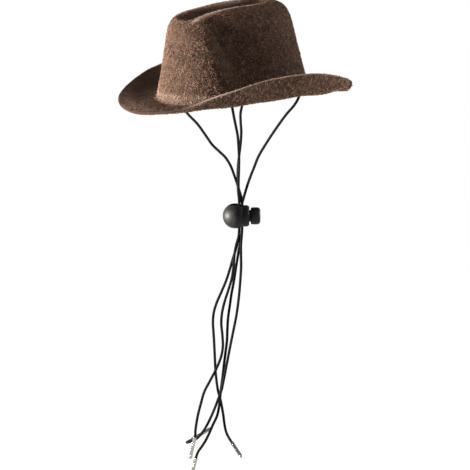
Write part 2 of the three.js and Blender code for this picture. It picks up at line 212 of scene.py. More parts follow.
def newGroup(name, inputs, outputs):
    tree = bpy.data.node_groups.new(name, "ShaderNodeTree")
    for label, kind, value in inputs:
        socket = tree.interface.new_socket(label, in_out="INPUT", socket_type=kind)
        if value is not None:
            socket.default_value = value
    for label, kind in outputs:
        tree.interface.new_socket(label, in_out="OUTPUT", socket_type=kind)
    nodes = Nodes(tree)
    start = nodes.add("NodeGroupInput")
    end = nodes.add("NodeGroupOutput")
    return tree, nodes, start, end


# Cords: routes repeated from the solids, in millimetres in a frame turned about the vertical

ties = {
    "turn": math.radians(60.4),
    "diameter": 1.5 * mm,
    "endStraight": 1.2 * mm,
    "gap": 0.3 * mm,
    "lock": (2.1, 3.5, -83.8),
    "halfLock": 8.0,
    "bundleAcross": 3.3,
    "bundlePitch": 1.9,
    "sides": 16,
    "step": 0.5 * mm,
    "samples": 40,
    "yarnSwell": 0.16 * mm,
    "braidDepth": 0.05 * mm,
    "braidPitch": 1.5 * mm,
    "bridgeRest": 0.2 * mm,
}

strands = {
    "left_front": {
        "side": 1, "hole": -24, "column": -1, "row": -1,
        "above": [
            [1, -41, -9], [2.3, -36, -16.5], [3.4, -31, -23.5], [4, -24.5, -32.5],
            [4.3, -19, -40.5], [4.2, -13.5, -49], [4, -8, -57], [4, -3, -65], [4.3, 0.8, -71]
        ],
        "below": [
            [4, 2.6, -97.5], [2.5, 2.6, -103], [1.3, 2.6, -110], [0.7, 2.6, -118],
            [-0.4, 2.6, -125.5], [-2.5, 2.6, -133], [-5, 2.6, -141], [-6.8, 2.6, -149],
            [-7.3, 2.6, -156], [-6.6, 2.6, -164], [-6.3, 2.7, -172], [-7.5, 2.9, -179],
            [-10.5, 3.3, -187], [-14.5, 3.5, -195], [-18.5, 3.5, -203], [-20.8, 3.4, -211],
            [-23, 3.2, -220], [-24.4, 3, -229], [-24.6, 3, -232.8]
        ],
        "aim": [-3.1, -0.4, -15.1],
    },
    "left_back": {
        "side": 1, "hole": 37, "column": 1, "row": 1,
        "above": [
            [42.4, -11.5, -2.5], [39.8, -10.3, -7.5], [35, -9, -13.5], [30.5, -7.5, -20],
            [26, -6, -27], [21, -3.5, -35.5], [17, -1.3, -43], [14.2, 0.7, -50.5], [11, 3, -59.5],
            [8.7, 4.2, -67], [7.2, 4.4, -72.5]
        ],
        "below": [
            [6, 4.5, -97], [5.2, 4.6, -101.5], [4.2, 4.6, -107], [3, 4.5, -114.5], [2, 4.5, -121],
            [0.8, 4.5, -129], [-0.6, 4.5, -136.5], [-1.7, 4.5, -144.5], [-2.8, 4.5, -152.5],
            [-3.3, 4.5, -160.5], [-3.6, 4.5, -168.5], [-4.5, 4.3, -176], [-5.5, 4, -184],
            [-6.5, 4, -193], [-7.6, 4, -202], [-8.7, 4, -212.5], [-10.2, 4.4, -220],
            [-13, 5.2, -226.5], [-15, 5.8, -231.5], [-17.5, 6, -237], [-20.3, 6, -241.6],
            [-22.6, 6, -245], [-23.9, 6, -248.3]
        ],
        "aim": [-3.4, -0.5, -15],
    },
    "right_front": {
        "side": -1, "hole": -24, "column": 1, "row": -1,
        "above": [
            [-35.9, 20.8, -6], [-33.8, 18.7, -12], [-29.5, 15.5, -18], [-22.5, 12, -24.8],
            [-17.4, 9.5, -31.5], [-12.9, 7.3, -37.5], [-8.4, 5.5, -41.5], [-4.4, 4, -45.2],
            [-1.2, 3, -50.3], [1.7, 2.3, -58], [4, 2.1, -65], [5.7, 2.3, -71]
        ],
        "below": [
            [6.1, 2.5, -96.5], [5.6, 2.4, -103], [5.6, 2.2, -110], [5.7, 2.2, -117.5],
            [5.3, 2.2, -125], [4.7, 2.1, -133], [3.9, 2, -141], [2.7, 2, -150], [1.2, 1.9, -158],
            [-0.6, 1.7, -167], [-2.3, 1.6, -176], [-4, 1.3, -185], [-5.7, 1, -194],
            [-7.4, 1, -202], [-9.6, 1.2, -208], [-11.4, 2, -213.2], [-13.4, 3.2, -218.5],
            [-16, 5, -224.8], [-18.5, 6.4, -229.8], [-21.3, 7.2, -234.1], [-24.5, 7.6, -237.2],
            [-27.2, 8.3, -238.8], [-29.3, 10, -239.9], [-30.3, 12.1, -240.7],
            [-29.8, 14.1, -240.9], [-28.2, 15, -240.3]
        ],
        "aim": [13.1, 0.2, 7.9],
    },
    "right_back": {
        "side": -1, "hole": 37, "column": -1, "row": 1,
        "above": [
            [11.2, 42.8, -3], [9.8, 40.5, -9.5], [7, 37.5, -15.8], [5.4, 34.3, -21.5],
            [5.4, 31, -27], [5.8, 27.5, -32.5], [5.5, 23.5, -38.5], [4.8, 20, -44], [4, 16.3, -50],
            [3.5, 12.8, -56], [3.5, 9.4, -62], [3.8, 6.3, -68.5], [4.3, 4.9, -73]
        ],
        "below": [
            [4.2, 4.5, -97], [3.3, 4.7, -102], [2, 5, -107.5], [0.3, 5.4, -113], [-1.6, 5.8, -120],
            [-4.3, 6, -128.5], [-7.6, 6, -136.5], [-10.5, 6, -143.5], [-12.3, 6, -150],
            [-12.8, 6, -156.5], [-12.4, 6, -163.5], [-12, 6.1, -171], [-11.6, 6.6, -180],
            [-11.2, 7, -189], [-10.5, 7, -196.5], [-9.4, 7, -204], [-7.8, 7, -210],
            [-6.8, 7, -215.5], [-6, 7, -220.5], [-5.2, 6.9, -227], [-4, 6, -232],
            [-2.2, 4.3, -235.3], [-0.9, 2.6, -236.9]
        ],
        "aim": [5.8, -11.2, -5.7],
    },
}

hat = {
    "headWidth": 73.6 * mm,
    "headLength": 99.2 * mm,
    "crownHeight": 54.2 * mm,
    "thickness": 2.0 * mm,
    "brimWidth": 33.7 * mm,
    "brimCurl": 15.3 * mm,
    "footRadius": 2.5 * mm,
    "noseDown": math.radians(3.9),
    "dentDepth": 9 * mm,
    "dentHalfWidth": 12 * mm,
    "dentFront": 44 * mm,
    "dentBack": 30 * mm,
    "dentTaper": 0.35,
    "dentFrom": 0.93,
    "dentOver": 0.07,
    "dentFrontSlope": 14 * mm,
    "dentBackSlope": 20 * mm,
    "pinchDepth": 9 * mm,
    "pinchForward": 16 * mm,
    "pinchAhead": 8 * mm,
    "pinchBehind": 16 * mm,
    "pinchSlant": 0.2,
    "pinchHeight": 35 * mm,
    "pinchTall": 23 * mm,
    "pinchSpread": 1.25,
    "holeOut": 3 * mm,
    "around": 280,
    "crownRows": 84,
    "footRows": 5,
    "brimRows": 42,
    "crownFrom": 0.35,                # place in the sections where the felt of the crown starts
    "brimFrom": 0.1,
    "edgeThickness": 1.3 * mm,
    "thinFrom": 1.6,                  # 1 is the foot of the brim and 2 its edge
    "thinOver": 0.4,
    "edgeBulge": 0.35 * mm,
    "edgeRows": 7,
    "waviness": 0.35 * mm,
    "pebble": 0.06 * mm,
    # rise, width, front, back as shares, from the foot of the crown to its middle
    "crownSections": np.array([
        [0.05, 1.0, 1.0, 1.0], [0.25, 0.925, 0.94, 0.955], [0.5, 0.85, 0.885, 0.91],
        [0.72, 0.785, 0.83, 0.87], [0.84, 0.73, 0.795, 0.835], [0.92, 0.64, 0.74, 0.785],
        [0.97, 0.51, 0.66, 0.7], [0.995, 0.37, 0.54, 0.55], [1.0, 0.22, 0.36, 0.36],
        [1.0, 0, 0, 0]]),
    # angle in degrees from the side of the head, run and lift as shares, droop in degrees
    "brimSections": np.array([
        [-90, 0.741, -0.088, 0], [-60, 0.766, 0.142, 0], [-30, 0.573, 0.744, 0],
        [0, 0.412, 0.994, -1], [25, 0.722, 1.005, 11.5], [50, 0.901, 0.379, 31],
        [70, 0.785, -0.437, 30], [90, 1.108, -0.545, 6]]),
}

# where the felt is painted pale: rubbed felt with a painted highlight at the foot of the crown, and
# painted highlight along the two ridges beside the dent and on the cut edge where it curls up
wearAndHighlight = {
    "lineHeight": 3 * mm,             # of the pale line at the foot of the crown: rubbed felt with a painted highlight
    "lineWidth": 1.9 * mm,
    "lineShare": 1.9,
    "beyondShare": 0.15,              # where the foot turns into the brim
    "beyondWidth": 0.03,
    "ridgeOut": 1.02,                 # painted highlight on the ridges beside the dent
    "ridgeWidth": 1.3 * mm,
    "ridgeShare": 0.35,
    "ridgeFrom": 0.9,
    "ridgeRise": 3 * mm,
    "ridgeFront": 40 * mm,
    "ridgeFrontFade": 8 * mm,
    "ridgeBack": 24 * mm,
    "ridgeBackFade": 12 * mm,
    "raisedFrom": 3 * mm,             # painted highlight on the cut edge, where it curls up
    "raisedOver": 7 * mm,
    "cutFrom": 1.985,
    "cutOver": 0.015,
    "cutUnder": 0.7,
    "footUnder": 0.2,
    "patchMiddle": 0.7,
    "patchSwing": 0.3,
    "patchLeast": 0.15,
}


def readSections(table, place):
    # Catmull-Rom curve through the rows of a table
    last = len(table) - 1
    low = np.clip(np.floor(place).astype(int), 0, last - 1)
    t = (place - low)[..., None]
    a, b = table[np.clip(low - 1, 0, last)], table[low]
    c, d = table[low + 1], table[np.clip(low + 2, 0, last)]
    return 0.5 * (2 * b + (c - a) * t + (2 * a - 5 * b + 4 * c - d) * t**2
                  + (3 * b - a - 3 * c + d) * t**3)


def smoothShare(value):
    share = np.clip(value, 0, 1)
    return share * share * (3 - 2 * share)


def unit(vectors):
    return vectors / np.linalg.norm(vectors, axis=-1, keepdims=True)


def headOutline(angle):
    # an ellipse and the direction that points out of it
    a, b = hat["headWidth"] / 2, hat["headLength"] / 2
    point = np.stack([a * np.cos(angle), b * np.sin(angle), 0 * angle], -1)
    outward = np.stack([b * np.cos(angle), a * np.sin(angle), 0 * angle], -1)
    return point, unit(outward)


def dentHalf(y):
    # half the width of the dent, which narrows towards the back
    share = (y + hat["dentFront"]) / (hat["dentFront"] + hat["dentBack"])
    return hat["dentHalfWidth"] * (1 - hat["dentTaper"] * np.clip(share, 0, 1))


def crownPoint(angle, place):
    # elliptical sections, pulled in at the pinches and pushed down along the dent
    section = readSections(hat["crownSections"], place)
    rise, width, front, back = np.moveaxis(section, -1, 0)
    reach = np.where(np.sin(angle) < 0, front, back)
    x = hat["headWidth"] / 2 * width * np.cos(angle)
    y = hat["headLength"] / 2 * reach * np.sin(angle)
    z = hat["crownHeight"] * rise
    behind = y + hat["pinchForward"] + hat["pinchSlant"] * (z - hat["pinchHeight"])
    along = np.exp(-(behind / np.where(behind < 0, hat["pinchAhead"], hat["pinchBehind"])) ** 2)
    up = np.exp(-((z - hat["pinchHeight"]) / hat["pinchTall"]) ** 2)
    onSide = np.cos(angle) ** 2 * np.minimum(1, width * hat["pinchSpread"])
    x = x - np.sign(x) * hat["pinchDepth"] * along * up * onSide
    across = np.clip(1 - (x / dentHalf(y)) ** 2, 0, None) ** 1.5
    ends = (smoothShare((y + hat["dentFront"]) / hat["dentFrontSlope"])
            * smoothShare((hat["dentBack"] - y) / hat["dentBackSlope"]))
    onTop = np.clip((rise - hat["dentFrom"]) / hat["dentOver"], 0, 1)
    z = z - hat["dentDepth"] * across * ends * onTop
    return np.stack([x, y, z], -1)


def raised(point, up):
    return point + np.stack([0 * up, 0 * up, up], -1)


def brimArc(angle):
    # radius, droop and turn of the arc that the brim makes from the head to its edge
    table = hat["brimSections"]
    fromSide = np.degrees(np.arcsin(np.clip(np.sin(angle), -1, 1)))
    place = np.interp(fromSide, table[:, 0], np.arange(len(table)))
    section = readSections(np.vstack([table[1], table, table[-2]]), place + 1)
    run, lift = section[..., 1] * hat["brimWidth"], section[..., 2] * hat["brimCurl"]
    droop = np.radians(section[..., 3])
    halfTurn = np.arctan2(lift, run) + droop
    halfTurn = np.where(np.abs(halfTurn) < 1e-4, 1e-4, halfTurn)
    return np.hypot(run, lift) / (2 * np.sin(halfTurn)), droop, 2 * halfTurn


def brimPoint(angle, share):
    # an arc that droops where it leaves the head and turns until it reaches the lift of its edge
    point, outward = headOutline(angle)
    radius, droop, turn = brimArc(angle)
    out = radius * (np.sin(turn * share - droop) + np.sin(droop))
    up = radius * (np.cos(droop) - np.cos(turn * share - droop))
    return raised(point + outward * out[..., None], up)


def brimHeight(angle, out):
    # height of the brim's middle at a reach out from the head
    radius, droop, _ = brimArc(angle)
    return radius * (np.cos(droop) - np.cos(np.arcsin(out / radius - np.sin(droop))))


def footPoint(angle, share):
    # a quarter round between the crown and the brim, ending at the height of the brim there
    point, outward = headOutline(angle)
    turn = share * np.pi / 2
    out = hat["footRadius"] * (1 - np.cos(turn))
    up = hat["footRadius"] * (1 - np.sin(turn)) + share * brimHeight(angle, hat["footRadius"])
    return raised(point + outward * out[..., None], up)


def tiltHat(points):
    c, s = math.cos(hat["noseDown"]), math.sin(hat["noseDown"])
    return points @ np.array([[1, 0, 0], [0, c, s], [0, -s, c]])


def turnTies(points):
    # from the turned frame of the cords to the frame of the hat
    c, s = math.cos(ties["turn"]), math.sin(ties["turn"])
    return np.asarray(points, float) @ np.array([[c, s, 0], [-s, c, 0], [0, 0, 1]])


def holePoint(side, degrees):
    angle = np.radians(np.array(float(degrees)))
    angle = angle if side > 0 else np.pi - angle
    point, outward = headOutline(angle)
    return point + outward * hat["holeOut"] + [0, 0, brimHeight(angle, hat["holeOut"])]


def smoothPath(points, step):
    # centripetal Catmull-Rom curve through the points, sampled at even steps
    p = np.asarray(points, float)
    p = np.vstack([2 * p[0] - p[1], p, 2 * p[-1] - p[-2]])
    knots = np.concatenate([[0], np.cumsum(np.linalg.norm(np.diff(p, axis=0), axis=1) ** 0.5)])
    parts = []
    for i in range(1, len(p) - 2):
        t0, t1, t2, t3 = knots[i - 1:i + 3]
        t = np.linspace(t1, t2, ties["samples"], endpoint=False)[:, None]
        a1 = (t1 - t) / (t1 - t0) * p[i - 1] + (t - t0) / (t1 - t0) * p[i]
        a2 = (t2 - t) / (t2 - t1) * p[i] + (t - t1) / (t2 - t1) * p[i + 1]
        a3 = (t3 - t) / (t3 - t2) * p[i + 1] + (t - t2) / (t3 - t2) * p[i + 2]
        b1 = (t2 - t) / (t2 - t0) * a1 + (t - t0) / (t2 - t0) * a2
        b2 = (t3 - t) / (t3 - t1) * a2 + (t - t1) / (t3 - t1) * a3
        parts.append((t2 - t) / (t2 - t1) * b1 + (t - t1) / (t2 - t1) * b2)
    dense = np.vstack(parts + [p[-2:-1]])
    length = np.concatenate([[0], np.cumsum(np.linalg.norm(np.diff(dense, axis=0), axis=1))])
    even = np.linspace(0, length[-1], max(int(length[-1] / step), 2) + 1)
    return np.stack([np.interp(even, length, dense[:, k]) for k in range(3)], -1), length[-1]


def carriedFrames(path):
    # normals carried along the path without twisting, station by station
    tangent = unit(np.gradient(path, axis=0))
    normal = np.zeros_like(path)
    normal[0] = unit(np.cross(tangent[0], [0.3, 1, 0.2]))
    for i in range(1, len(path)):
        normal[i] = unit(normal[i - 1] - tangent[i] * np.dot(normal[i - 1], tangent[i]))
    return normal, np.cross(tangent, normal)


def cordMesh(name, points):
    # a round section carried along the path, its radius swelling where two helices of yarn cross
    path, length = smoothPath(points, ties["step"])
    normal, other = carriedFrames(path)
    around = ties["sides"]
    angle = 2 * np.pi * np.arange(around) / around
    travel = np.linspace(0, length, len(path))[:, None]
    phase = 2 * np.pi * travel / ties["braidPitch"]
    yarns = np.cos(2 * angle + phase) * np.cos(2 * angle - phase)
    radius = ties["diameter"] / 2 + ties["yarnSwell"] - ties["braidDepth"] * (0.5 - 0.5 * yarns)
    ring = (path[:, None] + radius[..., None]
            * (np.cos(angle)[:, None] * normal[:, None] + np.sin(angle)[:, None] * other[:, None]))
    along = np.concatenate([np.repeat(travel[:, 0], around), [0, length]])
    obj = solidOfRings(name, ring, path[0], path[-1], flip=True, masks={"along": along})
    return obj, path, length


def elasticMaterial():
    # black yarn: ribs along the braid, and lint
    material, nodes, shader = newMaterial("elastic cord")
    lint = nodes.noise(nodes.place(), 2600.0, 3.0)
    ribs = 2 * math.pi / (0.5 * ties["braidPitch"])
    rib = nodes.math("SINE", nodes.math("MULTIPLY", nodes.attribute("along"), ribs))
    yarn = nodes.math("ADD", nodes.math("MULTIPLY", rib, 0.25), lint)
    shade = nodes.between(yarn, 0.25, 0.95)
    nodes.feed(shader, {
        "Base Color": nodes.mix(shade, colour(3, 3, 3), colour(15, 15, 16)),
        "Normal": nodes.bump(yarn, 0.5, 0.05 * mm),
        "Roughness": nodes.between(lint, 0.3, 0.7, 0.8, 0.95),
        "Specular IOR Level": 0.08,
    })
    return material


def strandPoints(strand):
    pitch = ties["bundlePitch"]
    place = np.array(ties["lock"]) + [ties["bundleAcross"] + strand["column"] * pitch / 2,
                                      strand["row"] * pitch / 2, 0]
    inLock = [place + [0, 0, rise] for rise in (ties["halfLock"], 0, -ties["halfLock"])]
    start = tiltHat(holePoint(strand["side"], strand["hole"]))
    c, s = math.cos(ties["turn"]), math.sin(ties["turn"])
    hole = np.array([c * start[0] + s * start[1], -s * start[0] + c * start[1], start[2]]) / mm
    hole[2] -= ties["gap"] / mm / 2
    aim = np.array(strand["aim"]) / np.linalg.norm(strand["aim"])
    last = np.array(strand["below"][-1]) + aim * ties["endStraight"] / mm
    route = np.vstack([hole, strand["above"], inLock, strand["below"], last]) * mm
    return turnTies(route), turnTies(aim)


elastic = elasticMaterial()
strandPieces = {}
for name, strand in strands.items():
    route, aim = strandPoints(strand)
    cord, path, length = cordMesh("cord_" + name, route)
    cord.data.materials.append(elastic)
    strandPieces[name] = {"cord": cord, "path": path, "length": length, "aim": aim,
                          "end": route[-1]}
print("cords made", {name: round(piece["length"], 4) for name, piece in strandPieces.items()})


# Bridges: where each cord lies on the brim between its two holes

def bridgePoints(side):
    # out of the first hole, along the top of the brim and into the second hole
    lie = hat["thickness"] / 2 + ties["gap"] + ties["diameter"] / 2
    arch = 2 * ties["diameter"]
    first, last = strands["left_front"]["hole"], strands["left_back"]["hole"]
    shares = [0, 0, 0.035, 0.1, 0.2, 0.35, 0.5, 0.65, 0.8, 0.9, 0.965, 1, 1]
    rising = [ties["gap"] / 2, arch / 2, lie + arch / 2]
    heights = rising + [lie + ties["bridgeRest"]] * 7 + rising[::-1]
    points = [holePoint(side, first + (last - first) * share) for share in shares]
    return tiltHat(np.array([p + [0, 0, h] for p, h in zip(points, heights)]))


for sideName, side in (("left", 1), ("right", -1)):
    bridge, _, _ = cordMesh("bridge_" + sideName + "_cord", bridgePoints(side))
    bridge.data.materials.append(elastic)
    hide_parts("bridge_" + sideName)
    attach(bridge, "root")
print("bridges made")


# Felt hat

def feltGrid():
    # middle of the felt as rings from the centre of the crown to the edge of the brim
    angle = 2 * np.pi * np.arange(hat["around"]) / hat["around"]

    def rings(pointAt, places):
        return pointAt(*np.broadcast_arrays(angle[None], places[:, None]))

    places = np.linspace(len(hat["crownSections"]) - 1, hat["crownFrom"], hat["crownRows"])
    shares = np.linspace(hat["brimFrom"], 1, hat["brimRows"])
    grid = np.vstack([rings(crownPoint, places),
                      rings(footPoint, np.linspace(0, 1, hat["footRows"])),
                      rings(brimPoint, shares)])
    # 0 on the crown, 1 on its foot and 1 to 2 over the brim
    zone = np.concatenate([np.zeros(len(places)), np.full(hat["footRows"], 1), 1 + shares])
    return grid, zone


def gridNormals(grid):
    roundWay = np.roll(grid, -1, 1) - np.roll(grid, 1, 1)
    normal = np.cross(np.gradient(grid, axis=0), roundWay)
    size = np.linalg.norm(normal, axis=-1, keepdims=True)
    normal = normal / np.maximum(size, 1e-12)
    normal[0] = [0, 0, 1]
    return normal


def softWaves(grid, seed, count=14, low=30.0, high=120.0):
    # a sum of sine waves in random directions, about -1 to 1
    rng = np.random.default_rng(seed)
    total = np.zeros(grid.shape[:-1])
    for _ in range(count):
        way = rng.normal(size=3)
        way *= rng.uniform(low, high) / np.linalg.norm(way)
        total += np.sin(grid @ way * 2 * np.pi / 3 + rng.uniform(0, 2 * np.pi))
    return total / math.sqrt(count)


def paleAndHighlightShares(grid, zone):
    # rubbed pale felt with a painted highlight at the foot of the crown, and painted highlight
    # along the two ridges beside the dent
    x, y, z = np.moveaxis(grid, -1, 0)
    patches = softWaves(grid, 8, count=12, low=20, high=90)
    patchy = np.clip(wearAndHighlight["patchMiddle"] + wearAndHighlight["patchSwing"] * patches, wearAndHighlight["patchLeast"], 1)
    beside = (np.abs(x) - dentHalf(y) * wearAndHighlight["ridgeOut"]) / wearAndHighlight["ridgeWidth"]
    ridge = (np.exp(-beside ** 2)
             * smoothShare((z - wearAndHighlight["ridgeFrom"] * hat["crownHeight"]) / wearAndHighlight["ridgeRise"])
             * smoothShare((y + wearAndHighlight["ridgeFront"]) / wearAndHighlight["ridgeFrontFade"])
             * smoothShare((wearAndHighlight["ridgeBack"] - y) / wearAndHighlight["ridgeBackFade"]))
    line = wearAndHighlight["lineShare"] * np.exp(-((z - wearAndHighlight["lineHeight"]) / wearAndHighlight["lineWidth"]) ** 2)
    beyond = wearAndHighlight["beyondShare"] * np.exp(-((zone - 1.0) / wearAndHighlight["beyondWidth"]) ** 2)[:, None]
    return np.where(zone[:, None] > 0, beyond, line + wearAndHighlight["ridgeShare"] * ridge) * patchy


def makeFelt():
    grid, zone = feltGrid()
    normal = gridNormals(grid)
    rows, around = grid.shape[:2]
    sway = softWaves(grid, 3) * hat["waviness"]
    pebble = softWaves(grid, 5, count=40, low=600, high=1500) * hat["pebble"]
    middle = grid + normal * sway[..., None]
    thin = smoothShare((zone - hat["thinFrom"]) / hat["thinOver"])[:, None]
    half = (hat["thickness"] + (hat["edgeThickness"] - hat["thickness"]) * thin) / 2
    top = middle + normal * (half + pebble)[..., None]
    under = middle - normal * (half + pebble[::-1])[..., None]
    outWay = unit(grid[-1] - grid[-2])
    turns = np.linspace(0, np.pi, hat["edgeRows"])[1:-1]
    edge = np.stack([middle[-1] + normal[-1] * half[-1] * math.cos(t)
                     + outWay * hat["edgeBulge"] * math.sin(t) for t in turns])
    layers = tiltHat(np.vstack([top[1:], edge, under[1:][::-1]]))
    foot = paleAndHighlightShares(grid, zone)
    raisedShare = smoothShare((grid[-1:, :, 2] - wearAndHighlight["raisedFrom"]) / wearAndHighlight["raisedOver"])
    rim = np.clip((zone - wearAndHighlight["cutFrom"]) / wearAndHighlight["cutOver"], 0, 1)[:, None]
    rim = rim * np.ones((1, around))
    flat = np.zeros((len(edge), around))
    # each mask runs over the top, round the edge and back under; the poles come last
    over = lambda first, turning, second: np.concatenate([first, turning, second[::-1]])
    poled = lambda values: np.concatenate([values.ravel(), [values[0, 0], values[-1, 0]]])
    cutEdge = over(rim[1:], flat + 1, rim[1:] * wearAndHighlight["cutUnder"])
    # the foot mask is rubbed pale felt with a painted highlight; its ridge part is painted
    # highlight
    masks = {"footWearAndHighlight": over(foot[1:], flat, foot[1:] * wearAndHighlight["footUnder"]),
             # the raised part of the cut edge gets a painted highlight
             "cutEdge": cutEdge, "edgeHighlight": cutEdge * raisedShare,
             # the under face, lightened with painted light in the material
             "inner": over(0 * rim[1:], flat, 0 * rim[1:] + 1)}
    obj = solidOfRings("felt_hat", layers, tiltHat(top[0, 0]), tiltHat(under[0, 0]),
                       masks={key: poled(values) for key, values in masks.items()})
    return obj, tiltHat(top), tiltHat(under), tiltHat(normal), foot


def napGroup():
    # curly nap: worms of fibre from warped noise; their crests take the felt colour and the hollows
    # between them painted shade
    tree, nodes, start, end = newGroup("curly nap", [
        ("Vector", "NodeSocketVector", None), ("Scale", "NodeSocketFloat", 1000.0),
        ("Curl", "NodeSocketFloat", 0.0006)],
        [("Crest", "NodeSocketFloat"), ("Height", "NodeSocketFloat"), ("Patch", "NodeSocketFloat")])
    place = start.outputs["Vector"]
    warp = nodes.noise(place, 700.0, 2.0, output="Color")
    shift = nodes.vectors("SUBTRACT", {0: warp, 1: (0.5, 0.5, 0.5)})
    amount = nodes.vectors("SCALE", {0: shift, "Scale": start.outputs["Curl"]})
    warped = nodes.vectors("ADD", {0: place, 1: amount})
    curls = nodes.noise(warped, start.outputs["Scale"], 2.5, 0.6)
    ridge = nodes.math("ABSOLUTE", nodes.math("SUBTRACT", curls, 0.5))
    crest = nodes.between(ridge, 0.0, 0.14, 1.0, 0.0)
    fine = nodes.math("MULTIPLY", nodes.noise(warped, 3500.0, 3.0), 0.5)
    nodes.feed(end, {
        "Crest": crest,
        "Height": nodes.math("ADD", nodes.math("MULTIPLY", crest, 0.7), fine),
        "Patch": nodes.noise(place, 90.0, 3.0),
    })
    return tree


feltColours = {
    "deep": colour(28, 20, 16),
    "body": colour(54, 41, 34),
    "light": colour(99, 77, 64),
    # pale of rubbed felt, also used for painted highlight
    "wornAndLit": colour(226, 202, 186),
    "curlDark": colour(34, 25, 20),
    "curlLight": colour(132, 102, 84),
    # the brim top curls are a darker copy of the crown curls: painted shade
    "brimDark": colour(44, 31, 24),
    "brimLight": colour(63, 46, 37),
    # the under curls are a lighter copy of the crown curls: painted light from below
    "underDark": colour(38, 28, 23),
    "underLight": colour(188, 151, 124),
}


def feltMaterial():
    material, nodes, shader = newMaterial("brown felt")
    inputs = {"Vector": nodes.place(), "Scale": 850.0, "Curl": 0.0007}
    curly = nodes.add("ShaderNodeGroup", inputs, node_tree=napGroup())
    crest = curly.outputs["Crest"]
    # painted shade in the hollows between the worms
    base = nodes.mix(crest, feltColours["deep"], feltColours["body"])

    def blend(mask, share, name):
        amount = nodes.math("MULTIPLY", nodes.attribute(mask), share)
        return nodes.mix(amount, base, feltColours[name])

    patchShare = nodes.between(curly.outputs["Patch"], 0.35, 0.7, 0.0, 0.3)
    base = nodes.mix(patchShare, base, feltColours["light"])
    # painted light: the whole under face of the felt is lightened, as if lit from below
    base = blend("inner", 0.6, "light")
    # rubbed pale felt with a painted highlight at the foot of the crown and painted highlight on
    # the ridges, strongest on the crests
    base = blend("footWearAndHighlight", nodes.between(crest, 0.0, 1.0, 0.35, 0.8), "wornAndLit")
    base = blend("cutEdge", 0.7, "deep")
    # painted highlight on the cut edge where it curls up
    base = blend("edgeHighlight", 0.25, "wornAndLit")
    nodes.feed(shader, {
        "Base Color": base,
        "Normal": nodes.bump(curly.outputs["Height"], 0.9, 0.35 * mm),
        "Roughness": 0.95,
        "Specular IOR Level": 0.08,
        "Sheen Weight": 0.1,
        "Sheen Roughness": 0.5,
        "Sheen Tint": (0.75, 0.5, 0.38, 1),
    })
    return material


def curlMaterial(name, dark, light):
    # each curl has its own brown, with painted shade at its root
    material, nodes, shader = newMaterial(name)
    tone = nodes.between(nodes.attribute("tone"), 0.0, 1.0)
    rise = nodes.between(nodes.attribute("rise"), 0.0, 0.7)
    base = nodes.mix(tone, feltColours[dark], feltColours[light])
    # painted shade towards the root of each curl
    base = nodes.mix(rise, feltColours["deep"], base)
    # the pale foot and ridges carried onto the curls: rubbed felt with a painted highlight
    wornAndLit = nodes.math("MULTIPLY", nodes.attribute("wornAndLit"), 0.9)
    nodes.feed(shader, {
        "Base Color": nodes.mix(wornAndLit, base, feltColours["wornAndLit"]),
        "Roughness": 0.8,
        "Specular IOR Level": 0.1,
    })
    return material


nap = {
    "length": 1.35 * mm,
    "width": 0.36 * mm,
    "sink": 0.08 * mm,
    "lean": 1.5,
    "curl": 0.5,
    "lengths": (0.6, 1.3),            # from the shortest to the longest, as shares
    "leans": (0.5, 1.6),
    "droops": (0.2, 0.9),
    "widths": (0.6, 1.25),
    "streak": 0.5,                    # below 1 the locks are longer upright than across
    "lockLength": 0.24,
    "lockTone": 0.26,
    "ownTone": 0.65,
    "flyaways": 9000,
    "flyawayWidth": 0.07 * mm,
    "flyawayLength": 1.1 * mm,
    "flyawayLean": 0.7,
}


